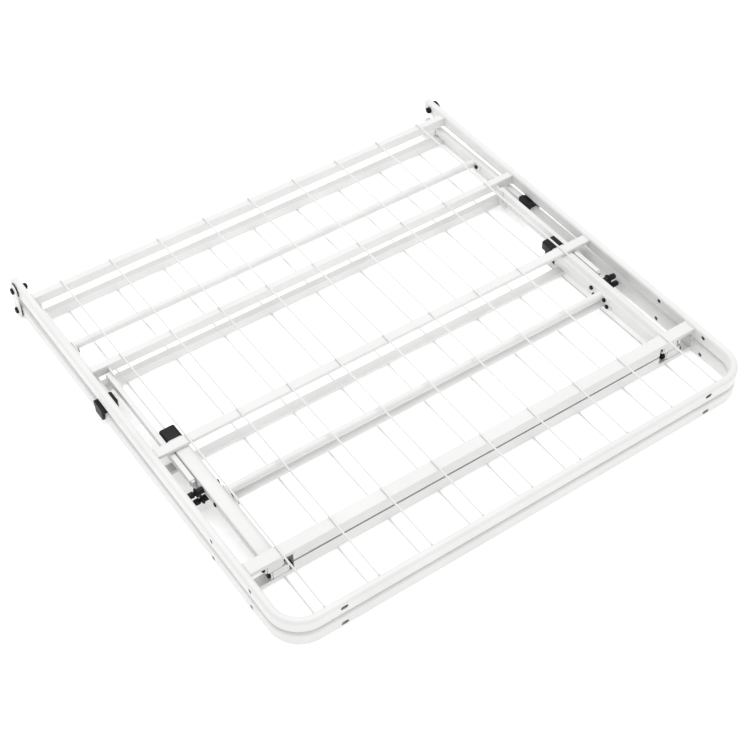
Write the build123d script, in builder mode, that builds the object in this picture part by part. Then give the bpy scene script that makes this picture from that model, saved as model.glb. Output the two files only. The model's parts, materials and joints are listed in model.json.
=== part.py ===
"""Bi-fold twin platform bed frame, folded for storage.

Two equal halves lie one on the other with their mattress sides outward. Every piece of a half is
drawn in that half's own frame: X across the bed, Y from the end rail to the hinge, and Z out
through the mattress side, with zero at the outer face of the rim. The world's origin is on the
floor under the middle of the folded stack.
"""
import os
from math import cos, radians, sin
from build123d import *

os.makedirs("parts", exist_ok=True)

# Rim
frame_width = 965.0
half_length = 948.0
tube_width = 15.0
tube_height = 28.0
tube_edge = 6.0
tube_wall = 1.2
bend_radius = 52.0
rim_x = frame_width / 2 - tube_width / 2
rim_inner = frame_width / 2 - tube_width
rim_mid = -tube_height / 2

# Stack: the two halves nearly touch at the end rails and stand apart at the hinge
end_height = 59.5
wedge = 1.0
bed_height = 355.6

# Hinge: one bolt through each rail, joined by a link plate on the outside
bolt_end = 18.0
bolt_diameter = 8.0
bolt_hole = 8.1
hinge_y = half_length - bolt_end
washer_diameter = 28.0
washer_thickness = 2.0
side_play = 0.3
link_width = 27.0
link_thickness = 3.0
head_diameter = 12.5
head_height = 4.4
nut_across = 12.0
nut_height = 6.0

# Bracket holes in the rims, nearer the mattress side
side_holes_y = (108.0, 224.0)
side_hole = 8.5
end_slot_x = 379.0
end_slot_length = 14.0
end_slot_width = 8.0
bracket_z = -10.0

# Slats and head channel
slat_face = -4.0
slat_width = 15.0
slat_height = 20.0
slat_wall = 1.2
slat_places = {"inner_slat": 661.0, "end_slat": 887.0}
flat_slat_y = 429.0
flat_slat_width = 20.0
flat_slat_height = 8.0
channel_y = 143.0
channel_width = 24.0
channel_top = slat_face
channel_depth = 25.0
channel_wall = 1.8
flange_reach = 388.0
lip_depth = 8.2

# Support wires
wire_count = 9
wire_pitch = 101.6
wire_diameter = 3.5
wire_z = slat_face + wire_diameter / 2
wire_hook = 12.0
wire_bend = 4.0

# End legs
leg_width = 27.0
leg_depth = 18.0
leg_wall = 1.5
leg_edge = 3.0
leg_z = -21.5
leg_pivot_y = 139.0
leg_pivot_z = -20.0
leg_x = {"left": -422.0, "right": 413.0}
leg_heel = 7.0
foot_y = leg_pivot_y + bed_height + leg_pivot_z
cap_wall = 1.6
cap_length = 28.0
cap_floor = 4.0
bracket_thickness = 3.0
bracket_gap = 0.6

# Leg cross tube with a flattened lug at each end
cross_offset = 167.0
cross_diameter = 16.0
lug_length = 34.0
lug_thickness = 2.5
lug_shift = 14.0
small_bolt = 5.0
small_head = 8.4
small_head_height = 3.2

# Stays: a channel hung on the inner slat, and a bar that slides in it towards the leg's knob
stay_gap = 2.2
stay_width = 9.0
stay_height = 14.0
stay_wall = 1.2
stay_pivot_y = 639.0
stay_heel = 8.0
arm_length = 286.0
slide_start = 36.0
slide_end = 290.0
slide_play = 0.3
slide_wall = 1.4
tab_thickness = 3.0
tab_height = 18.0
tab_length = 22.0
flat_head_height = 1.8

# Hand knobs on the end legs, standing outside the stays
knob_offset = 192.0
knob_collar = 12.0
knob_collar_length = stay_gap + stay_width + 0.3
knob_length = knob_collar_length + 17.5
knob_diameter = 11.0
knob_waist = 7.4
knob_flange = 17.0
knob_bore = 5.12

# Middle legs, hung on the lower hinge bolts and folded between the two layers of slats
middle_width = 11.4
middle_depth = 16.0
middle_x = rim_inner - 1.0 - middle_width / 2
middle_z = -34.0
middle_foot_y = hinge_y - bed_height - rim_mid
middle_end_y = hinge_y - 12.0
middle_cap_length = 28.0
boot_wall = 1.2
boot_inner_wall = 0.9
hanger_thickness = 3.0
hanger_radius = 11.0

tilt = radians(wedge)
halves = {
    "upper": Plane(origin=(0, -half_length / 2, end_height), x_dir=(1, 0, 0), z_dir=(0, -sin(tilt), cos(tilt))),
    "lower": Plane(origin=(0, -half_length / 2, 0), x_dir=(-1, 0, 0), z_dir=(0, 0, -1)),
}


def in_half(half, origin, x_dir, z_dir):
    """Plane given in a half's own frame, turned into the world's."""
    return Plane(half.location * Plane(origin=origin, x_dir=x_dir, z_dir=z_dir).location)


def flat(half, z):
    """Plane parallel to the mattress face of a half; sketches hold X and Y."""
    return in_half(half, (0, 0, z), (1, 0, 0), (0, 0, 1))


def across(half, x, y=0.0, z=0.0):
    """Plane facing +X of a half; sketches hold Y and Z."""
    return in_half(half, (x, y, z), (0, 1, 0), (1, 0, 0))


def along(half, x, y, z):
    """Plane facing +Y of a half; sketches hold X and Z, with Z turned over."""
    return in_half(half, (x, y, z), (1, 0, 0), (0, 1, 0))


def save(piece, name):
    piece.part.label = name
    export_step(piece.part, f"parts/{name}.step")


def tube_section(width, height, edge, wall):
    """Hollow tube profile with rounded edges, drawn in the current sketch."""
    RectangleRounded(width, height, edge)
    RectangleRounded(width - 2 * wall, height - 2 * wall, max(edge - wall, 0.5), mode=Mode.SUBTRACT)


def rod(half, x, y, z, diameter, length):
    """Round bar along +X, added to the current part."""
    with BuildSketch(across(half, x, y, z)) as disc:
        Circle(diameter / 2)
    extrude(disc.sketch, amount=length)


def hex_nut(half, x, y, z, across_flats, height, bore):
    """Hexagon nut standing on x and growing along +X, added to the current part."""
    with BuildSketch(across(half, x, y, z)) as hexagon:
        RegularPolygon(across_flats / 2, 6, major_radius=False)
        Circle(bore / 2, mode=Mode.SUBTRACT)
    extrude(hexagon.sketch, amount=height)


def make_rim(half, name):
    """U-shaped side and end rail, bent from one flat-oval tube, with its bolt and bracket holes."""
    corner = tube_width / 2
    with BuildPart() as rim:
        with BuildLine(flat(half, rim_mid)) as route:
            FilletPolyline(
                (-rim_x, half_length), (-rim_x, corner), (rim_x, corner), (rim_x, half_length), radius=bend_radius
            )
        with BuildSketch(Plane(origin=route.line @ 0, x_dir=half.x_dir, z_dir=route.line % 0)):
            tube_section(tube_width, tube_height, tube_edge, tube_wall)
        sweep(path=route.line)
        with BuildSketch(across(half, -frame_width / 2 - 1, hinge_y, rim_mid)):
            Circle(bolt_hole / 2)
        extrude(amount=frame_width + 2, mode=Mode.SUBTRACT)
        with BuildSketch(across(half, -frame_width / 2 - 1, 0, bracket_z)):
            with Locations(*[(y, 0) for y in side_holes_y]):
                Circle(side_hole / 2)
        extrude(amount=frame_width + 2, mode=Mode.SUBTRACT)
        with BuildSketch(along(half, 0, -1, bracket_z)):
            with Locations((-end_slot_x, 0), (end_slot_x, 0)):
                SlotOverall(end_slot_length, end_slot_width)
        extrude(amount=tube_width + 2, mode=Mode.SUBTRACT)
    save(rim, name)


def make_slat(half, name, y, width, height, top):
    """Straight slat of rectangular tube welded between the side rails."""
    with BuildPart() as slat:
        with BuildSketch(across(half, -rim_inner, y, top - height / 2)):
            tube_section(width, height, 1.8, slat_wall)
        extrude(amount=2 * rim_inner)
    save(slat, name)


def make_channel(half, name):
    """Head channel, open to the inside of the fold, its flanges cut back to a lip where the legs swing."""
    with BuildPart() as channel:
        with BuildSketch(across(half, -rim_inner, channel_y, channel_top - channel_wall / 2)):
            Rectangle(channel_width, channel_wall)
        extrude(amount=2 * rim_inner)
        with BuildSketch(across(half, -flange_reach, channel_y, channel_top - channel_depth / 2)):
            Rectangle(channel_width, channel_depth)
            with Locations((0, -channel_wall)):
                Rectangle(channel_width - 2 * channel_wall, channel_depth, mode=Mode.SUBTRACT)
        extrude(amount=2 * flange_reach)
        front_wall_y = channel_y - (channel_width - channel_wall) / 2
        for start in (-rim_inner, flange_reach):
            with BuildSketch(across(half, start, front_wall_y, channel_top - lip_depth / 2)):
                Rectangle(channel_wall, lip_depth)
            extrude(amount=rim_inner - flange_reach)
    save(channel, name)


def make_wires(half, name):
    """Support wires: over every slat, hooked down behind the last one."""
    first = tube_width - 0.3
    last = slat_places["end_slat"] + slat_width / 2 + wire_diameter / 2 + 0.3
    with BuildPart() as wires:
        for index in range(wire_count):
            x = (index - (wire_count - 1) / 2) * wire_pitch
            with BuildLine(across(half, x)) as route:
                FilletPolyline((first, wire_z), (last, wire_z), (last, wire_z - wire_hook), radius=wire_bend)
            with BuildSketch(along(half, x, first, wire_z)):
                Circle(wire_diameter / 2)
            sweep(path=route.line)
    save(wires, name)


def make_brackets(half, name):
    """Leg brackets: a pair of plates under the head channel on each side of each leg."""
    offset = leg_width / 2 + bracket_gap
    bottom = channel_top - channel_depth
    top = channel_top - channel_wall
    with BuildPart() as brackets:
        for x in leg_x.values():
            for start in (x - offset - bracket_thickness, x + offset):
                with BuildSketch(across(half, start, channel_y, (top + bottom) / 2)):
                    Rectangle(channel_width - 2 * channel_wall, top - bottom)
                    with Locations((leg_pivot_y - channel_y, leg_pivot_z - (top + bottom) / 2)):
                        Circle(bolt_hole / 2, mode=Mode.SUBTRACT)
                extrude(amount=bracket_thickness)
    save(brackets, name)


def make_pivot_bolts(half, bolts_name, nuts_name):
    """Leg pivot bolts with their nuts, one at each leg."""
    grip = leg_width / 2 + bracket_gap + bracket_thickness
    with BuildPart() as bolts:
        for x in leg_x.values():
            side = 1 if x > 0 else -1
            head = x + side * grip if side > 0 else x - grip - head_height
            rod(half, head, leg_pivot_y, leg_pivot_z, head_diameter, head_height)
            shank = x - grip - (nut_height + 1.5 if side > 0 else 0)
            rod(half, shank, leg_pivot_y, leg_pivot_z, bolt_diameter, 2 * grip + nut_height + 1.5)
    save(bolts, bolts_name)
    with BuildPart() as nuts:
        for x in leg_x.values():
            start = x - grip - nut_height if x > 0 else x + grip
            hex_nut(half, start, leg_pivot_y, leg_pivot_z, nut_across, nut_height, bolt_diameter)
    save(nuts, nuts_name)


def make_leg(half, name, x):
    """End leg: rectangular tube with its pivot, cross bolt and knob holes."""
    with BuildPart() as leg:
        with BuildSketch(along(half, x, leg_pivot_y - leg_heel, leg_z)):
            tube_section(leg_width, leg_depth, leg_edge, leg_wall)
        extrude(amount=foot_y - cap_floor - leg_pivot_y + leg_heel)
        with BuildSketch(along(half, x, leg_pivot_y - leg_heel, leg_z)):
            RectangleRounded(leg_width, leg_depth, leg_edge)
        extrude(amount=leg_wall)
        with BuildSketch(across(half, x - leg_width, leg_pivot_y, leg_pivot_z)):
            Circle(bolt_hole / 2)
        extrude(amount=2 * leg_width, mode=Mode.SUBTRACT)
        with BuildSketch(across(half, x - leg_width, leg_pivot_y, leg_z)):
            with Locations((cross_offset - lug_shift, 0), (knob_offset, 0)):
                Circle(small_bolt / 2)
        extrude(amount=2 * leg_width, mode=Mode.SUBTRACT)
    save(leg, name)


def make_foot_caps(half, name):
    """Moulded caps pushed over the ends of the two end legs."""
    with BuildPart() as caps:
        for x in leg_x.values():
            with BuildSketch(along(half, x, foot_y - cap_length, leg_z)):
                RectangleRounded(leg_width + 2 * cap_wall, leg_depth + 2 * cap_wall, leg_edge + cap_wall)
            extrude(amount=cap_length)
            with BuildSketch(along(half, x, foot_y - cap_length, leg_z)):
                RectangleRounded(leg_width, leg_depth, leg_edge)
            extrude(amount=cap_length - cap_floor, mode=Mode.SUBTRACT)
    save(caps, name)


def make_cross_tube(half, name, left, right, y, z):
    """Round tube between two legs, with a flattened lug against each leg."""
    with BuildPart() as cross:
        with BuildSketch(across(half, left + lug_thickness, y, z)):
            Circle(cross_diameter / 2)
            Circle(cross_diameter / 2 - tube_wall, mode=Mode.SUBTRACT)
        extrude(amount=right - left - 2 * lug_thickness)
        for start in (left, right - lug_thickness):
            with BuildSketch(across(half, start, y - lug_shift / 2, z)):
                SlotOverall(lug_length, cross_diameter)
                with Locations((-lug_shift / 2, 0)):
                    Circle(small_bolt / 2, mode=Mode.SUBTRACT)
            extrude(amount=lug_thickness)
    save(cross, name)


def make_cross_bolts(half, name, left, right, grip, y, z):
    """Small bolts that hold the lugs to the legs, round heads inside, flat heads outside."""
    with BuildPart() as bolts:
        for face, side in ((left, 1), (right, -1)):
            inner = face + side * lug_thickness
            outer = face - side * grip
            rod(half, min(inner, inner + side * small_head_height), y, z, small_head, small_head_height)
            rod(half, min(inner, outer), y, z, small_bolt, abs(inner - outer))
            rod(half, min(outer, outer - side * flat_head_height), y, z, small_head, flat_head_height)
    save(bolts, name)


def stay_inner(x):
    """Side of a stay that faces its leg, and the direction away from the bed's middle."""
    side = 1 if x > 0 else -1
    return x + side * (leg_width / 2 + stay_gap), side


def make_stays(half, arms_name, slides_name, tabs_name, bolts_name):
    """Stays of both legs: channels open to the inside of the fold, slides, and their pivots."""
    with BuildPart() as arms:
        for x in leg_x.values():
            inner, side = stay_inner(x)
            middle = inner + side * stay_width / 2
            with BuildSketch(along(half, middle, stay_pivot_y - arm_length, leg_z)):
                Rectangle(stay_width, stay_height)
                with Locations((0, stay_wall)):
                    Rectangle(stay_width - 2 * stay_wall, stay_height, mode=Mode.SUBTRACT)
            extrude(amount=arm_length + stay_heel)
            with BuildSketch(across(half, middle - stay_width, stay_pivot_y, leg_z)):
                Circle(small_bolt / 2 + 0.05)
            extrude(amount=2 * stay_width, mode=Mode.SUBTRACT)
    save(arms, arms_name)
    slide_width = stay_width - 2 * stay_wall - 2 * slide_play
    slide_height = stay_height - stay_wall - 2 * slide_play
    with BuildPart() as slides:
        for x in leg_x.values():
            inner, side = stay_inner(x)
            middle = inner + side * stay_width / 2
            with BuildSketch(along(half, middle, stay_pivot_y - slide_end, leg_z - stay_wall / 2)):
                Rectangle(slide_width, slide_height)
                with Locations((0, slide_wall)):
                    Rectangle(slide_width - 2 * slide_wall, slide_height, mode=Mode.SUBTRACT)
            extrude(amount=slide_end - slide_start)
            with BuildSketch(across(half, middle - slide_width / 2, stay_pivot_y - slide_end, leg_z)):
                with Locations((slide_height / 2, -stay_wall / 2)):
                    Rectangle(slide_height, slide_height)
            extrude(amount=slide_width)
    save(slides, slides_name)
    tab_y = slat_places["inner_slat"] - slat_width / 2 - tab_length / 2
    with BuildPart() as tabs:
        for x in leg_x.values():
            inner, side = stay_inner(x)
            start = inner - side * (side_play + tab_thickness / 2) - tab_thickness / 2
            with BuildSketch(across(half, start, tab_y, leg_z + 2)):
                Rectangle(tab_length, tab_height)
                with Locations((stay_pivot_y - tab_y, -2)):
                    Circle(small_bolt / 2, mode=Mode.SUBTRACT)
            extrude(amount=tab_thickness)
    save(tabs, tabs_name)
    with BuildPart() as bolts:
        for x in leg_x.values():
            inner, side = stay_inner(x)
            back = inner - side * (side_play + tab_thickness)
            front = inner + side * (stay_width + side_play)
            rod(half, min(back, front), stay_pivot_y, leg_z, small_bolt, abs(front - back))
            rod(half, min(front, front + side * flat_head_height), stay_pivot_y, leg_z, small_head, flat_head_height)
            rod(half, min(back, back - side * flat_head_height), stay_pivot_y, leg_z, small_head, flat_head_height)
    save(bolts, bolts_name)


def make_knob_studs(half, name):
    """Studs through the end legs: a round head inside, the thread standing out for the knob."""
    with BuildPart() as studs:
        for x in leg_x.values():
            side = 1 if x > 0 else -1
            inner = x - side * leg_width / 2
            head = inner - side * small_head_height
            tip = x + side * (leg_width / 2 + knob_length - 4)
            rod(half, min(inner, head), leg_pivot_y + knob_offset, leg_z, small_head, small_head_height)
            rod(half, min(inner, tip), leg_pivot_y + knob_offset, leg_z, small_bolt, abs(inner - tip))
    save(studs, name)


def make_knob(half, name, x):
    """Hand knob: a collar past the stay, a flange, a waist and a barrel with a rounded end."""
    side = 1 if x > 0 else -1
    start = x + side * (leg_width / 2 + side_play)
    profile = in_half(half, (start, leg_pivot_y + knob_offset, leg_z), (side, 0, 0), (0, 0, 1))
    with BuildPart() as knob:
        with BuildSketch(profile):
            with BuildLine():
                grip = Polyline(
                    (0, knob_bore / 2), (0, knob_collar / 2), (knob_collar_length, knob_collar / 2),
                    (knob_collar_length, knob_flange / 2), (knob_collar_length + 2, knob_flange / 2),
                    (knob_collar_length + 5, knob_waist / 2)
                )
                barrel = Spline(
                    grip @ 1, (knob_collar_length + 9, knob_diameter / 2), tangents=((1, 0), (1, 0.1))
                )
                Line(barrel @ 1, (knob_length - 2, knob_diameter / 2))
                RadiusArc((knob_length - 2, knob_diameter / 2), (knob_length, knob_diameter / 2 - 2), 2)
                Polyline(
                    (knob_length, knob_diameter / 2 - 2), (knob_length, 0), (knob_length - 3, 0),
                    (knob_length - 3, knob_bore / 2), (0, knob_bore / 2)
                )
            make_face()
        revolve(axis=Axis(profile.origin, profile.x_dir))
    save(knob, name)


for half_name, half in halves.items():
    make_rim(half, f"{half_name}_rim")
    for slat_name, slat_y in slat_places.items():
        make_slat(half, f"{half_name}_{slat_name}", slat_y, slat_width, slat_height, slat_face)
    make_slat(half, f"{half_name}_flat_slat", flat_slat_y, flat_slat_width, flat_slat_height, slat_face)
    make_channel(half, f"{half_name}_head_channel")
    make_wires(half, f"{half_name}_wires")
    make_brackets(half, f"{half_name}_leg_brackets")
    make_pivot_bolts(half, f"{half_name}_leg_pivot_bolts", f"{half_name}_leg_pivot_nuts")
    for side_name, x in leg_x.items():
        make_leg(half, f"{half_name}_leg_{side_name}", x)
        make_knob(half, f"{half_name}_knob_{side_name}", x)
    make_foot_caps(half, f"{half_name}_foot_caps")
    leg_faces = (leg_x["left"] + leg_width / 2, leg_x["right"] - leg_width / 2)
    make_cross_tube(half, f"{half_name}_leg_cross_tube", *leg_faces, leg_pivot_y + cross_offset, leg_z)
    make_cross_bolts(
        half, f"{half_name}_leg_cross_bolts", *leg_faces, leg_width, leg_pivot_y + cross_offset - lug_shift, leg_z
    )
    make_knob_studs(half, f"{half_name}_knob_studs")
    make_stays(
        half, f"{half_name}_stay_arms", f"{half_name}_stay_slides", f"{half_name}_stay_tabs",
        f"{half_name}_stay_bolts"
    )

# Hinge links and bolts, placed from the two bolt centres
lower_half = halves["lower"]
lower_pivot = (lower_half.location * Location((0, hinge_y, rim_mid))).position
upper_pivot = (halves["upper"].location * Location((0, hinge_y, rim_mid))).position
link_direction = (upper_pivot - lower_pivot).normalized()
link_length = (upper_pivot - lower_pivot).length
link_frame = Plane(origin=lower_pivot, x_dir=link_direction, z_dir=(1, 0, 0))
stack_faces = {
    "washer": frame_width / 2 + side_play,
    "link": frame_width / 2 + side_play + washer_thickness,
    "head": frame_width / 2 + side_play + washer_thickness + link_thickness,
}


def link_plane(x):
    """Plane of a link at a place across the bed; X runs from the lower bolt to the upper one."""
    return Plane(origin=link_frame.origin + Vector(x, 0, 0), x_dir=link_frame.x_dir, z_dir=(1, 0, 0))


def outward(face, thickness, side):
    """Lower X of a layer that starts at a face and grows away from the bed's middle."""
    return face if side > 0 else -face - thickness


for side_name, side in (("left", -1), ("right", 1)):
    with BuildPart() as link:
        with BuildSketch(link_plane(outward(stack_faces["link"], link_thickness, side))):
            with Locations((link_length / 2, 0)):
                SlotCenterToCenter(link_length, link_width)
            with Locations((0, 0), (link_length, 0)):
                Circle(bolt_hole / 2, mode=Mode.SUBTRACT)
        extrude(amount=link_thickness)
    save(link, f"link_plate_{side_name}")

with BuildPart() as washers:
    for side in (-1, 1):
        with BuildSketch(link_plane(outward(stack_faces["washer"], washer_thickness, side))):
            with Locations((0, 0), (link_length, 0)):
                Circle(washer_diameter / 2)
                Circle(bolt_hole / 2, mode=Mode.SUBTRACT)
        extrude(amount=washer_thickness)
save(washers, "hinge_washers")

hanger_inner = middle_x - middle_width / 2 - hanger_thickness
rail_nut_x = rim_inner - side_play - nut_height
inner_nut_x = hanger_inner - side_play - nut_height
bolt_tips = {"lower": (0, inner_nut_x - 2), "upper": (link_length, rail_nut_x - 2)}
for bolt_name, (place, tip) in bolt_tips.items():
    with BuildPart() as bolts:
        for side in (-1, 1):
            with BuildSketch(link_plane(outward(stack_faces["head"], head_height, side))):
                with Locations((place, 0)):
                    Circle(head_diameter / 2)
            extrude(amount=head_height)
            shank = stack_faces["head"] - tip
            with BuildSketch(link_plane(outward(tip, shank, side))):
                with Locations((place, 0)):
                    Circle(bolt_diameter / 2)
            extrude(amount=shank)
        fillet(bolts.edges().filter_by(GeomType.CIRCLE).group_by(Axis.X)[-1], 2)
        fillet(bolts.edges().filter_by(GeomType.CIRCLE).group_by(Axis.X)[0], 2)
    save(bolts, f"hinge_bolts_{bolt_name}")

with BuildPart() as hinge_nuts:
    for place, start in ((0, rail_nut_x), (link_length, rail_nut_x), (0, inner_nut_x)):
        for side in (-1, 1):
            with BuildSketch(link_plane(outward(start, nut_height, side))):
                with Locations((place, 0)):
                    RegularPolygon(nut_across / 2, 6, major_radius=False)
                    Circle(bolt_diameter / 2, mode=Mode.SUBTRACT)
            extrude(amount=nut_height)
save(hinge_nuts, "hinge_nuts")

# Middle legs on the lower hinge bolts
for side_name, side in (("left", 1), ("right", -1)):
    with BuildPart() as middle_leg:
        with BuildSketch(along(lower_half, side * middle_x, middle_foot_y + cap_floor, middle_z)):
            tube_section(middle_width, middle_depth, leg_edge, leg_wall)
        extrude(amount=middle_end_y - middle_foot_y - cap_floor)
        with BuildSketch(across(lower_half, side * middle_x - middle_width, 0, middle_z)):
            with Locations((hinge_y - cross_offset - lug_shift, 0)):
                Circle(small_bolt / 2)
        extrude(amount=2 * middle_width, mode=Mode.SUBTRACT)
    save(middle_leg, f"middle_leg_{side_name}")

with BuildPart() as hangers:
    for side in (-1, 1):
        with BuildSketch(across(lower_half, outward(hanger_inner, hanger_thickness, side))):
            with Locations((middle_end_y - 14, middle_z)):
                Rectangle(24, middle_depth - 2)
            with Locations((hinge_y, rim_mid)):
                Circle(hanger_radius)
            make_hull()
            with Locations((hinge_y, rim_mid)):
                Circle(bolt_hole / 2, mode=Mode.SUBTRACT)
        extrude(amount=hanger_thickness)
save(hangers, "middle_leg_hangers")

cap_half = middle_cap_length / 2
skirt_outer = frame_width / 2 + 6.5
skirt_inner = frame_width / 2 + 0.5
boot_bottom = middle_z + middle_depth / 2 + boot_wall
boot_top = middle_z - middle_depth / 2 - boot_wall
pad_z = (-28.4, -40.8)
skirt_z = (-15.0, -40.8)
with BuildPart() as boots:
    for side in (-1, 1):
        boot_inner = middle_x - middle_width / 2 - boot_inner_wall
        boot_outer = rim_inner - side_play
        with BuildSketch(flat(lower_half, boot_bottom)):
            with Locations((side * (boot_inner + boot_outer) / 2, middle_foot_y + cap_half)):
                RectangleRounded(boot_outer - boot_inner, middle_cap_length, 3)
        extrude(amount=boot_top - boot_bottom)
        with BuildSketch(flat(lower_half, pad_z[0])):
            with Locations((side * (boot_outer - 2 + skirt_outer) / 2, middle_foot_y + cap_half)):
                Rectangle(skirt_outer - boot_outer + 2, middle_cap_length)
        extrude(amount=pad_z[1] - pad_z[0])
        with BuildSketch(flat(lower_half, skirt_z[0])):
            with Locations((side * (skirt_inner + skirt_outer) / 2, middle_foot_y + cap_half)):
                RectangleRounded(skirt_outer - skirt_inner, middle_cap_length, 2.5)
        extrude(amount=skirt_z[1] - skirt_z[0])
        with BuildSketch(along(lower_half, side * middle_x, middle_foot_y + cap_floor, middle_z)):
            RectangleRounded(middle_width, middle_depth, leg_edge)
        extrude(amount=middle_cap_length, mode=Mode.SUBTRACT)
save(boots, "middle_foot_caps")

middle_faces = (-middle_x + middle_width / 2, middle_x - middle_width / 2)
make_cross_tube(lower_half, "middle_cross_tube", *middle_faces, hinge_y - cross_offset, middle_z)
make_cross_bolts(
    lower_half, "middle_cross_bolts", *middle_faces, middle_width, hinge_y - cross_offset - lug_shift, middle_z
)
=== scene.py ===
"""Folded bi-fold bed frame: finishes, rounded small parts, end plugs, welds, light and camera."""
import json
import math
import bmesh
import bpy
from mathutils import Matrix, Vector


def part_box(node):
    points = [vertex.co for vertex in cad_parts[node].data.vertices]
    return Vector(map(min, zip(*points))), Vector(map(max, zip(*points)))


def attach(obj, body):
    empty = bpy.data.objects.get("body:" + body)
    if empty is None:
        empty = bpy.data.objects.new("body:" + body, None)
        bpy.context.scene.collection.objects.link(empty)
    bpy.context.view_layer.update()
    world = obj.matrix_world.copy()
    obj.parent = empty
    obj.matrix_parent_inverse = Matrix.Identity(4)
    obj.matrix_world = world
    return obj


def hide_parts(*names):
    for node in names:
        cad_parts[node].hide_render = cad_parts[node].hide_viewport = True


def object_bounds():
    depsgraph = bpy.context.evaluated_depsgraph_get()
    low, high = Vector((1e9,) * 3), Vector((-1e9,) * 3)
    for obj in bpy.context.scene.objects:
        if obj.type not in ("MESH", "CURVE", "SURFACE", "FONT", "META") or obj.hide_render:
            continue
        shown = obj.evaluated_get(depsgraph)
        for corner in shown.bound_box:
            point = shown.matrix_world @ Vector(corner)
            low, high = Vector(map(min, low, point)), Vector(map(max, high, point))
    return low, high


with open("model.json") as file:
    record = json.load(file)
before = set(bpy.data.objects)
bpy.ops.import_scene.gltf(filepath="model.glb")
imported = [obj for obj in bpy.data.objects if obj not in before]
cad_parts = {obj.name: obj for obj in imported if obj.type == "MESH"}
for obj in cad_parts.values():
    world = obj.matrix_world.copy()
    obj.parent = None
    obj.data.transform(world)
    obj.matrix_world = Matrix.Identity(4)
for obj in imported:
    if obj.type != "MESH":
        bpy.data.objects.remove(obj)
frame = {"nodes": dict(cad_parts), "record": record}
cad_low, cad_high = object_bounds()
MM = 0.001
HALVES = ("upper", "lower")
SIDES = ("left", "right")


# ---------------------------------------------------------------- colours and nodes

def linear(code):
    """sRGB hex colour as linear RGBA."""
    channels = [int(code[i:i + 2], 16) / 255 for i in (1, 3, 5)]
    return [
        c / 12.92 if c <= 0.04045 else ((c + 0.055) / 1.055) ** 2.4 for c in channels
    ] + [1.0]


def add(tree, kind, settings=None, inputs=None):
    """New node; inputs hold values or the output socket that feeds each one."""
    made = tree.nodes.new(kind)
    for key, value in (settings or {}).items():
        setattr(made, key, value)
    for key, value in (inputs or {}).items():
        socket = made.inputs[key]
        if isinstance(value, bpy.types.NodeSocket):
            tree.links.new(value, socket)
        else:
            socket.default_value = value
    return made


def new_material(name):
    """Empty node material and its tree, with object coordinates ready."""
    material = bpy.data.materials.new(name)
    material.use_nodes = True
    tree = material.node_tree
    tree.nodes.clear()
    place = add(tree, "ShaderNodeTexCoord").outputs["Object"]
    return material, tree, place


def close_material(tree, shader):
    """Shader joined to the material's output."""
    add(tree, "ShaderNodeOutputMaterial", inputs={"Surface": shader.outputs["BSDF"]})


def ramp(tree, value, low, high, from_low, from_high):
    """Colour that runs from low to high as a pattern's value rises."""
    made = add(tree, "ShaderNodeValToRGB", inputs={"Fac": value})
    made.color_ramp.elements[0].position = from_low
    made.color_ramp.elements[0].color = linear(low)
    made.color_ramp.elements[1].position = from_high
    made.color_ramp.elements[1].color = linear(high)
    return made.outputs["Color"]


def spread(tree, value, low, high):
    """Pattern value mapped to a plain number between low and high."""
    made = add(
        tree, "ShaderNodeMapRange", inputs={"Value": value, "To Min": low, "To Max": high}
    )
    return made.outputs["Result"]


# ---------------------------------------------------------------- materials

# Pattern scales, in cells to the metre, and what one cell measures.
TONE_DRIFT = 9.0        # 110 mm, slow change of tone along the coat
GLOSS_SPECKS = 420.0    # 2.4 mm, patches of duller and brighter coat
PLASTIC_FLOW = 60.0     # 17 mm, flow marks in the moulded plastic
ZINC_SCUFF = 700.0      # 1.4 mm, tumbled scratches on bolts and nuts
FLOOR_CLOUD = 1.2       # 0.8 m, unevenness of the floor

# Full depth of a pattern's relief, in mm.
PLASTIC_GRAIN_DEPTH_MM = 0.12
ZINC_SCUFF_DEPTH_MM = 0.04
FLOOR_GLOW = 0.3


def powder_coat(name, shade, deep, peel_mm, depth_mm):
    """Powder coat on steel: even satin white, faint orange peel, slow drift in tone."""
    material, tree, place = new_material(name)
    drift = add(
        tree, "ShaderNodeTexNoise", inputs={"Vector": place, "Scale": TONE_DRIFT, "Detail": 3.0}
    )
    peel = add(
        tree, "ShaderNodeTexNoise",
        inputs={"Vector": place, "Scale": 1 / (peel_mm * MM), "Detail": 1.5, "Roughness": 0.4},
    )
    specks = add(
        tree, "ShaderNodeTexNoise", inputs={"Vector": place, "Scale": GLOSS_SPECKS, "Detail": 2.0}
    )
    tone = ramp(tree, drift.outputs["Fac"], deep, shade, 0.3, 0.62)
    bump = add(
        tree, "ShaderNodeBump",
        inputs={"Height": peel.outputs["Fac"], "Distance": depth_mm * MM, "Strength": 0.5},
    )
    shader = add(
        tree, "ShaderNodeBsdfPrincipled",
        inputs={
            "Base Color": tone,
            "Roughness": spread(tree, specks.outputs["Fac"], 0.34, 0.46),
            "Normal": bump.outputs["Normal"], "Coat Weight": 0.12, "Coat Roughness": 0.22,
        },
    )
    close_material(tree, shader)
    return material


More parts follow.
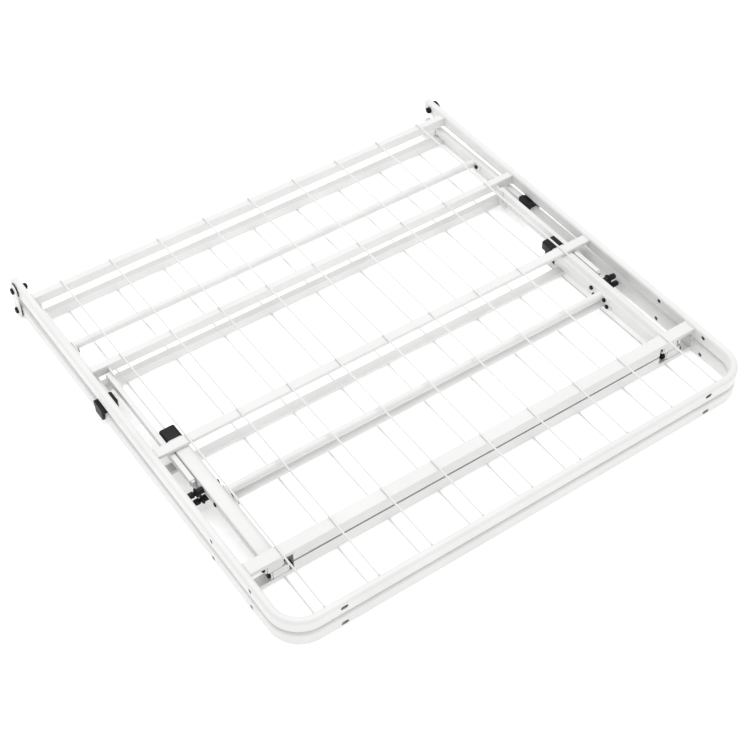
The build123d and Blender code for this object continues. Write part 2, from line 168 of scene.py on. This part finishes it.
def moulded_plastic(name, shade, deep, grain_mm):
    """Injection-moulded polyethylene: near black, fine grain, dull with a soft sheen on edges."""
    material, tree, place = new_material(name)
    grain = add(
        tree, "ShaderNodeTexVoronoi", {"feature": "SMOOTH_F1"},
        {"Vector": place, "Scale": 1 / (grain_mm * MM), "Smoothness": 0.6},
    )
    flow = add(
        tree, "ShaderNodeTexNoise", inputs={"Vector": place, "Scale": PLASTIC_FLOW, "Detail": 4.0}
    )
    tone = ramp(tree, flow.outputs["Fac"], deep, shade, 0.35, 0.68)
    bump = add(
        tree, "ShaderNodeBump",
        inputs={
            "Height": grain.outputs["Distance"], "Distance": PLASTIC_GRAIN_DEPTH_MM * MM,
            "Strength": 0.6,
        },
    )
    shader = add(
        tree, "ShaderNodeBsdfPrincipled",
        inputs={
            "Base Color": tone,
            "Roughness": spread(tree, flow.outputs["Fac"], 0.38, 0.56),
            "Normal": bump.outputs["Normal"], "Specular IOR Level": 0.3,
        },
    )
    close_material(tree, shader)
    return material


def black_zinc(name):
    """Black-passivated zinc on bolts and nuts: dark metal, scratched, brighter where rubbed."""
    material, tree, place = new_material(name)
    scuff = add(
        tree, "ShaderNodeTexNoise",
        inputs={"Vector": place, "Scale": ZINC_SCUFF, "Detail": 5.0, "Roughness": 0.65},
    )
    tone = ramp(tree, scuff.outputs["Fac"], "#0f1011", "#2c2e31", 0.45, 0.8)
    bump = add(
        tree, "ShaderNodeBump",
        inputs={
            "Height": scuff.outputs["Fac"], "Distance": ZINC_SCUFF_DEPTH_MM * MM, "Strength": 0.4,
        },
    )
    shader = add(
        tree, "ShaderNodeBsdfPrincipled",
        inputs={
            "Base Color": tone, "Metallic": 0.75,
            "Roughness": spread(tree, scuff.outputs["Fac"], 0.3, 0.5),
            "Normal": bump.outputs["Normal"],
        },
    )
    close_material(tree, shader)
    return material


def floor_paint(name):
    """Pale studio floor, matt, with a trace of unevenness and a little light of its own."""
    material, tree, place = new_material(name)
    cloud = add(
        tree, "ShaderNodeTexNoise", inputs={"Vector": place, "Scale": FLOOR_CLOUD, "Detail": 2.0}
    )
    tone = ramp(tree, cloud.outputs["Fac"], "#f8f8f8", "#fcfcfc", 0.3, 0.7)
    shader = add(
        tree, "ShaderNodeBsdfPrincipled",
        inputs={
            "Base Color": tone, "Roughness": 0.9, "Specular IOR Level": 0.1,
            "Emission Color": linear("#ffffff"), "Emission Strength": FLOOR_GLOW,
        },
    )
    close_material(tree, shader)
    return material


COAT = powder_coat("powder_coat_white", "#e3e3e2", "#dededd", 1.6, 0.05)
WIRE_COAT = powder_coat("powder_coat_wire", "#e4e4e3", "#dededd", 1.2, 0.04)
WELD_COAT = powder_coat("powder_coat_over_weld", "#e0e0df", "#d8d8d7", 0.9, 0.08)
PLASTIC = moulded_plastic("moulded_polyethylene_black", "#0c0c0d", "#060607", 0.9)
ZINC = black_zinc("black_passivated_zinc")
SLOT_FINISH = {
    "white_powder_coat": COAT, "white_wire": WIRE_COAT,
    "black_plastic": PLASTIC, "black_zinc": ZINC,
}
NODE_SLOT = {part["node"]: part["material_slot"] for part in frame["record"]["subparts"]}
NODE_BODY = {
    node: body for body, nodes in frame["record"]["behaviour"]["bodies"].items() for node in nodes
}


def dress(piece, finish):
    """One finish all over a piece."""
    piece.data.materials.clear()
    piece.data.materials.append(finish)


for node_name, node in frame["nodes"].items():
    dress(node, SLOT_FINISH[NODE_SLOT[node_name]])


# ---------------------------------------------------------------- mesh helpers

SHARP_ANGLE = math.radians(38)      # faces that meet at more than this keep a hard edge
FLAT_ANGLE = math.radians(1.0)      # faces that meet at less than this are joined into one
BEVEL_ANGLE = math.radians(40)      # edges sharper than this are rounded
BEVEL_SEGMENTS = 3
WELD_DISTANCE = 0.02 * MM           # corners nearer than this are one corner


def piece_from(work, name, body, finish, slot, *replaced):
    """New object from a bmesh, riding on a body and standing for the CAD nodes named."""
    mesh = bpy.data.meshes.new(name)
    work.to_mesh(mesh)
    work.free()
    mesh.polygons.foreach_set("use_smooth", [True] * len(mesh.polygons))
    piece = bpy.data.objects.new(name, mesh)
    bpy.context.scene.collection.objects.link(piece)
    dress(piece, finish)
    sharpen(piece)
    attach(piece, body)
    if replaced:
        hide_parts(*replaced)
    return piece


def sharpen(piece):
    """Smooth shading that keeps true edges."""
    mesh = piece.data
    work = bmesh.new()
    work.from_mesh(mesh)
    for edge in work.edges:
        edge.smooth = len(edge.link_faces) == 2 and edge.calc_face_angle(0) < SHARP_ANGLE
    work.to_mesh(mesh)
    work.free()


def softened(node_name, radius_mm):
    """Copy of a CAD node with its edges rounded, standing for it."""
    mesh = frame["nodes"][node_name].data.copy()
    work = bmesh.new()
    work.from_mesh(mesh)
    bmesh.ops.remove_doubles(work, verts=work.verts, dist=WELD_DISTANCE)
    bmesh.ops.dissolve_limit(
        work, angle_limit=FLAT_ANGLE, verts=work.verts, edges=work.edges
    )
    work.to_mesh(mesh)
    work.free()
    rough = bpy.data.objects.new("rough", mesh)
    bpy.context.scene.collection.objects.link(rough)
    bevel = rough.modifiers.new("edges", "BEVEL")
    bevel.width = radius_mm * MM
    bevel.segments = BEVEL_SEGMENTS
    bevel.limit_method = "ANGLE"
    bevel.angle_limit = BEVEL_ANGLE
    bevel.use_clamp_overlap = True
    graph = bpy.context.evaluated_depsgraph_get()
    finished = bpy.data.meshes.new_from_object(rough.evaluated_get(graph))
    bpy.data.objects.remove(rough)
    work = bmesh.new()
    work.from_mesh(finished)
    bpy.data.meshes.remove(finished)
    slot = NODE_SLOT[node_name]
    return piece_from(
        work, f"{node_name}_finished", NODE_BODY[node_name], SLOT_FINISH[slot], slot, node_name
    )


# ---------------------------------------------------------------- the halves' own frames

END_HEIGHT_MM = 59.5            # the upper half's mattress face at its end rail
WEDGE = math.radians(1.0)       # the upper half's lean
FRONT_MM = cad_low[1] / MM      # the end rails' outer faces
HALF_FRAME = {
    "upper": Matrix.Translation((0, FRONT_MM, END_HEIGHT_MM)) @ Matrix.Rotation(WEDGE, 4, "X"),
    "lower": Matrix.Translation((0, FRONT_MM, 0)) @ Matrix.Rotation(math.pi, 4, "Y"),
}
RAIL_INNER_MM = 467.5           # a side rail's inner face, from the middle of the frame
RAIL_MIDDLE_MM = 475.0          # a side rail's axis, from the middle of the frame
RAIL_AXIS_MM = -14.0            # the same axis, below the mattress face
RAIL_END_MM = 948.0             # the rails' open ends, from the end rail
SLAT_FACE_MM = -4.0             # top of the slats, under the wires
SLATS_MM = (                    # middle from the end rail, width and depth of each
    (887, 15, 20),              # end slat
    (661, 15, 20),              # inner slat
    (429, 20, 8),               # flat slat
    (143, 24, 25),              # head channel
)
WIRES_MM = [101.6 * (step - 4) for step in range(9)]
WIRE_FRONT_MM = 15.0            # where the wires meet the end rail
WIRE_RADIUS_MM = 1.75


def in_half(half, x, y, z):
    """Point in the row frame, in metres, from a half's own mm: x across, y back from the
    end rail, z off the mattress face."""
    return (HALF_FRAME[half] @ Vector((x, y, z))) * MM


# ---------------------------------------------------------------- Geometry Nodes trees

RIBS_PER_KNOB = 12


def new_tree(name, floats):
    """Geometry Nodes tree with named number inputs; returns it, its group input node and
    the identifier of each named input."""
    tree = bpy.data.node_groups.new(name, "GeometryNodeTree")
    tree.interface.new_socket("Geometry", in_out="INPUT", socket_type="NodeSocketGeometry")
    tree.interface.new_socket("Geometry", in_out="OUTPUT", socket_type="NodeSocketGeometry")
    names = {}
    for label in floats:
        socket = tree.interface.new_socket(label, in_out="INPUT", socket_type="NodeSocketFloat")
        names[label] = socket.identifier
    return tree, add(tree, "NodeGroupInput"), names


def close_tree(tree, geometry, finish):
    """Realize the instances, shade them smooth and give them their finish."""
    real = add(tree, "GeometryNodeRealizeInstances", inputs={"Geometry": geometry})
    smooth = add(tree, "GeometryNodeSetShadeSmooth", inputs={"Geometry": real.outputs["Geometry"]})
    painted = add(
        tree, "GeometryNodeSetMaterial",
        inputs={"Geometry": smooth.outputs["Geometry"], "Material": finish},
    )
    add(tree, "NodeGroupOutput", inputs={"Geometry": painted.outputs["Geometry"]})


def weld_bead_tree(finish):
    """Small overlapping drops along every edge of the input, the ripples of a fillet weld."""
    tree, start, names = new_tree("weld_bead", ("Spacing", "Bead Radius", "Seed"))
    path = add(tree, "GeometryNodeMeshToCurve", inputs={"Mesh": start.outputs["Geometry"]})
    points = add(
        tree, "GeometryNodeCurveToPoints", {"mode": "LENGTH"},
        {"Curve": path.outputs["Curve"], "Length": start.outputs["Spacing"]},
    )
    drop = add(
        tree, "GeometryNodeMeshUVSphere",
        inputs={"Segments": 7, "Rings": 4, "Radius": start.outputs["Bead Radius"]},
    )
    size = add(
        tree, "FunctionNodeRandomValue", {"data_type": "FLOAT"},
        {2: 0.8, 3: 1.15, "Seed": start.outputs["Seed"]},
    )
    drops = add(
        tree, "GeometryNodeInstanceOnPoints",
        inputs={
            "Points": points.outputs["Points"], "Instance": drop.outputs["Mesh"],
            "Scale": size.outputs[1],
        },
    )
    close_tree(tree, drops.outputs["Instances"], finish)
    return tree, names


def tack_tree(finish):
    """A low drop at every point of the input, where a wire is resistance-welded to steel."""
    tree, start, names = new_tree("tack_weld", ("Tack Radius", "Flatness", "Seed"))
    drop = add(
        tree, "GeometryNodeMeshUVSphere",
        inputs={"Segments": 9, "Rings": 5, "Radius": start.outputs["Tack Radius"]},
    )
    size = add(
        tree, "FunctionNodeRandomValue", {"data_type": "FLOAT"},
        {2: 0.85, 3: 1.1, "Seed": start.outputs["Seed"]},
    )
    low = add(
        tree, "ShaderNodeCombineXYZ",
        inputs={"X": size.outputs[1], "Y": size.outputs[1], "Z": start.outputs["Flatness"]},
    )
    drops = add(
        tree, "GeometryNodeInstanceOnPoints",
        inputs={
            "Points": start.outputs["Geometry"], "Instance": drop.outputs["Mesh"],
            "Scale": low.outputs["Vector"],
        },
    )
    close_tree(tree, drops.outputs["Instances"], finish)
    return tree, names


def ring_tree(finish):
    """Ribs set round a circle, its axis along X, at every point of the input: a knob's grip."""
    tree, start, names = new_tree("knob_ribs", ("Ring Radius", "Rib Radius", "Rib Length"))
    ring = add(
        tree, "GeometryNodeMeshCircle",
        inputs={"Vertices": RIBS_PER_KNOB, "Radius": start.outputs["Ring Radius"]},
    )
    turned = add(
        tree, "GeometryNodeTransform",
        inputs={"Geometry": ring.outputs["Mesh"], "Rotation": (0, math.pi / 2, 0)},
    )
    rib = add(
        tree, "GeometryNodeMeshUVSphere",
        inputs={"Segments": 8, "Rings": 6, "Radius": start.outputs["Rib Radius"]},
    )
    long = add(
        tree, "ShaderNodeCombineXYZ",
        inputs={"X": start.outputs["Rib Length"], "Y": 1.0, "Z": 1.0},
    )
    ribs = add(
        tree, "GeometryNodeInstanceOnPoints",
        inputs={
            "Points": turned.outputs["Geometry"], "Instance": rib.outputs["Mesh"],
            "Scale": long.outputs["Vector"],
        },
    )
    rings = add(
        tree, "GeometryNodeInstanceOnPoints",
        inputs={"Points": start.outputs["Geometry"], "Instance": ribs.outputs["Instances"]},
    )
    close_tree(tree, rings.outputs["Instances"], finish)
    return tree, names


def grown(tree, names, values, points, edges, name, body):
    """Runs a tree on points and edges, and keeps the result as one plain mesh on one body."""
    seed = bpy.data.meshes.new("seed")
    seed.from_pydata(points, edges, [])
    holder = bpy.data.objects.new("seed", seed)
    bpy.context.scene.collection.objects.link(holder)
    modifier = holder.modifiers.new("grown", "NODES")
    modifier.node_group = tree
    for label, value in values.items():
        modifier[names[label]] = value
    graph = bpy.context.evaluated_depsgraph_get()
    mesh = bpy.data.meshes.new_from_object(holder.evaluated_get(graph))
    bpy.data.objects.remove(holder)
    mesh.name = name
    piece = bpy.data.objects.new(name, mesh)
    bpy.context.scene.collection.objects.link(piece)
    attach(piece, body)
    return piece


# ---------------------------------------------------------------- rounded edges on the small parts

HALF_ROUNDING_MM = {            # each half has one of these nodes, named after it
    "leg_pivot_bolts": 1.3, "leg_pivot_nuts": 0.6, "foot_caps": 2.2, "knob_left": 0.6,
    "knob_right": 0.6, "knob_studs": 0.6, "leg_cross_bolts": 1.0, "stay_tabs": 0.5,
    "stay_bolts": 0.7,
}
MIDDLE_ROUNDING_MM = {          # these are between the halves
    "link_plate_left": 0.7, "link_plate_right": 0.7, "hinge_washers": 0.5,
    "hinge_bolts_lower": 1.3, "hinge_bolts_upper": 1.3, "hinge_nuts": 0.6,
    "middle_foot_caps": 1.2, "middle_cross_bolts": 1.0, "middle_leg_hangers": 0.5,
}

for half in HALVES:
    for node_name, radius in HALF_ROUNDING_MM.items():
        softened(f"{half}_{node_name}", radius)
for node_name, radius in MIDDLE_ROUNDING_MM.items():
    softened(node_name, radius)


# ---------------------------------------------------------------- plugs in the rails' open ends

PLUG_HALF_MM = (6.2, 12.7)      # half the plug's width and height, 0.1 inside the rail's walls
PLUG_CORNER_MM = 4.7            # radius of the plug's four long corners
PLUG_STEPS = 32                 # corners of the outline
PLUG_SUNK_MM = 0.1              # the crown stays this far inside the rail's end
PLUG_RINGS_MM = (               # outline's place behind the crown, and how far it draws in
    (6.0, 0.0), (1.6, 0.0), (0.8, 0.5), (0.3, 1.8), (0.1, 3.4),
)


def plug_ring(work, half, rail_x, back, inset):
    """One rounded outline of a plug, as new corners of the bmesh."""
    corner = PLUG_CORNER_MM - inset
    ring = []
    for step in range(PLUG_STEPS):
        turn = 2 * math.pi * (step + 0.5) / PLUG_STEPS
        across, up = math.cos(turn), math.sin(turn)
        x = math.copysign(PLUG_HALF_MM[0] - PLUG_CORNER_MM, across) + corner * across
        z = math.copysign(PLUG_HALF_MM[1] - PLUG_CORNER_MM, up) + corner * up
        y = RAIL_END_MM - PLUG_SUNK_MM - back
        ring.append(work.verts.new(in_half(half, rail_x + x, y, RAIL_AXIS_MM + z)))
    return ring


def end_plugs(half):
    """Coated end plugs, rounded and crowned, closing the two rail ends at the hinge."""
    work = bmesh.new()
    for side in (-1, 1):
        rings = [plug_ring(work, half, side * RAIL_MIDDLE_MM, *ring) for ring in PLUG_RINGS_MM]
        for first, second in zip(rings, rings[1:]):
            for step in range(PLUG_STEPS):
                after = (step + 1) % PLUG_STEPS
                work.faces.new((first[step], first[after], second[after], second[step]))
        work.faces.new(rings[0])
        work.faces.new(rings[-1])
    bmesh.ops.recalc_face_normals(work, faces=work.faces)
    return piece_from(work, f"{half}_rail_end_plugs", f"{half}_half", COAT, "white_powder_coat")


for half in HALVES:
    end_plugs(half)


# ---------------------------------------------------------------- welds and grips

BEAD_RADIUS_MM = 1.5
BEAD_SPACING_MM = 1.5
BEAD_SUNK_MM = 0.4              # the bead's line lies this far inside the slat's end
BEAD_SEED = 4
TACK_RADIUS_MM = 1.5
TACK_FLATNESS = 0.6             # a drop's height, as a share of its width
TACK_OFF_MIDDLE = 0.28          # two tacks on each slat, as a share of the slat's width
TACK_SEED = 7
RAIL_TACK_MM = (1.2, -2.6)      # tacks on the end rail: from the wire's axis, off the face
RIB_RING_MM = 5.1               # ribs' distance from the knob's axis
RIB_RADIUS_MM = 0.7
RIB_STRETCH = 6.0               # a rib's length, as a multiple of its width
RIB_BACK_MM = 7.5               # ribs' middle, from the knob's outer end

bead, bead_inputs = weld_bead_tree(WELD_COAT)
tack, tack_inputs = tack_tree(WELD_COAT)
grip, grip_inputs = ring_tree(PLASTIC)


def slat_welds(half):
    """Fillet welds where slats and channel meet the side rails: down both sides, over the top."""
    points, edges = [], []
    for slat_y, width, depth in SLATS_MM:
        for side in (-1, 1):
            x = side * (RAIL_INNER_MM - BEAD_SUNK_MM)
            y0, y1 = slat_y - width / 2, slat_y + width / 2
            z0, z1 = SLAT_FACE_MM, SLAT_FACE_MM - depth
            edges += [(len(points), len(points) + 1), (len(points) + 2, len(points) + 3)]
            points += [in_half(half, x, y, z) for y in (y0, y1) for z in (z0, z1)]
            edges += [(len(points), len(points) + 1)]
            points += [in_half(half, x, y, z0) for y in (y0, y1)]
    sizes = {
        "Spacing": BEAD_SPACING_MM * MM, "Bead Radius": BEAD_RADIUS_MM * MM, "Seed": BEAD_SEED,
    }
    grown(
        bead, bead_inputs, sizes, points, edges,
        f"{half}_slat_weld_beads", f"{half}_half",
    )


def wire_tacks(half):
    """Weld drops on both sides of each wire where it crosses a slat and meets the end rail."""
    rail_x, rail_z = RAIL_TACK_MM
    tacks = []
    for x in WIRES_MM:
        for slat_y, width, _ in SLATS_MM:
            for along in (-TACK_OFF_MIDDLE, TACK_OFF_MIDDLE):
                for side in (-1, 1):
                    across = x + side * WIRE_RADIUS_MM
                    tacks.append(in_half(half, across, slat_y + along * width, SLAT_FACE_MM))
        for side in (-1, 1):
            tacks.append(in_half(half, x + side * rail_x, WIRE_FRONT_MM, rail_z))
    sizes = {"Tack Radius": TACK_RADIUS_MM * MM, "Flatness": TACK_FLATNESS, "Seed": TACK_SEED}
    grown(
        tack, tack_inputs, sizes, tacks, [],
        f"{half}_wire_tack_welds", f"{half}_half",
    )


def knob_ribs(half, side):
    """Ribs round the grip of one knob, near its outer end."""
    low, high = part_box(f"{half}_knob_{side}")
    outer = high.x if high.x > 0 else low.x
    middle = (low + high) / 2
    place = (outer - math.copysign(RIB_BACK_MM * MM, outer), middle.y, middle.z)
    sizes = {
        "Ring Radius": RIB_RING_MM * MM, "Rib Radius": RIB_RADIUS_MM * MM,
        "Rib Length": RIB_STRETCH,
    }
    grown(
        grip, grip_inputs, sizes, [place], [],
        f"{half}_knob_{side}_grip_ribs", f"{half}_knob_{side}_body",
    )


for half in HALVES:
    slat_welds(half)
    wire_tacks(half)
    for side in SIDES:
        knob_ribs(half, side)


# ---------------------------------------------------------------- floor, light and camera

FLOOR_SIZE = 40.0               # metres, as create_grid takes it
FLOOR_GAP_MM = 0.5              # the floor lies this far under the frame
SKY_STRENGTH = 0.8
SOFTBOXES = {                   # place and edge in metres, power in watts; all aim at the origin
    "overhead_softbox": ((0.2, 0.3, 3.2), 3.0, 52),
    "left_softbox": ((-2.6, -1.2, 1.8), 2.0, 2),
    "back_softbox": ((1.0, 3.0, 1.6), 2.0, 4),
}
CAMERA = {                      # from a perspective fit to the photo
    "azimuth": -34.332, "elevation": 46.201, "roll": -0.862, "distance": 2.6551,
    "target": (-0.0496, -0.0827, 0.03), "lens": 72.014,
}
CLIP_END = 60                   # metres, beyond the floor that the camera sees


def make_stage():
    """Pale floor under the folded frame, an even sky and three soft lights."""
    work = bmesh.new()
    bmesh.ops.create_grid(work, x_segments=2, y_segments=2, size=FLOOR_SIZE)
    bmesh.ops.translate(work, verts=work.verts, vec=(0, 0, cad_low[2] - FLOOR_GAP_MM * MM))
    mesh = bpy.data.meshes.new("studio_floor")
    work.to_mesh(mesh)
    work.free()
    floor = bpy.data.objects.new("studio_floor", mesh)
    bpy.context.scene.collection.objects.link(floor)
    dress(floor, floor_paint("studio_floor_paint"))
    world = bpy.data.worlds.new("studio")
    bpy.context.scene.world = world
    world.use_nodes = True
    sky = world.node_tree.nodes["Background"]
    sky.inputs["Color"].default_value = linear("#ffffff")
    sky.inputs["Strength"].default_value = SKY_STRENGTH
    for name, (place, size, power) in SOFTBOXES.items():
        lamp = bpy.data.lights.new(name, "AREA")
        lamp.size = size
        lamp.energy = power
        holder = bpy.data.objects.new(name, lamp)
        holder.location = place
        aim = Vector((0, 0, 0)) - Vector(place)
        holder.rotation_euler = aim.to_track_quat("-Z", "Y").to_euler()
        bpy.context.scene.collection.objects.link(holder)


def make_camera(azimuth, elevation, roll, distance, target, lens):
    """Camera round a target: azimuth 0 looks along +Y, elevation is above the floor, roll tips
    the picture; angles in degrees, distance in metres, lens in mm."""
    turn = (
        Matrix.Rotation(math.radians(azimuth), 3, "Z")
        @ Matrix.Rotation(math.radians(90 - elevation), 3, "X")
        @ Matrix.Rotation(math.radians(roll), 3, "Z")
    )
    lens_data = bpy.data.cameras.new("camera")
    lens_data.lens = lens
    lens_data.clip_end = CLIP_END
    camera = bpy.data.objects.new("camera", lens_data)
    place = Vector(target) + turn.col[2] * distance
    camera.matrix_world = Matrix.Translation(place) @ turn.to_4x4()
    bpy.context.scene.collection.objects.link(camera)
    bpy.context.scene.camera = camera


bpy.context.scene.view_settings.view_transform = "Standard"
make_stage()
make_camera(**CAMERA)
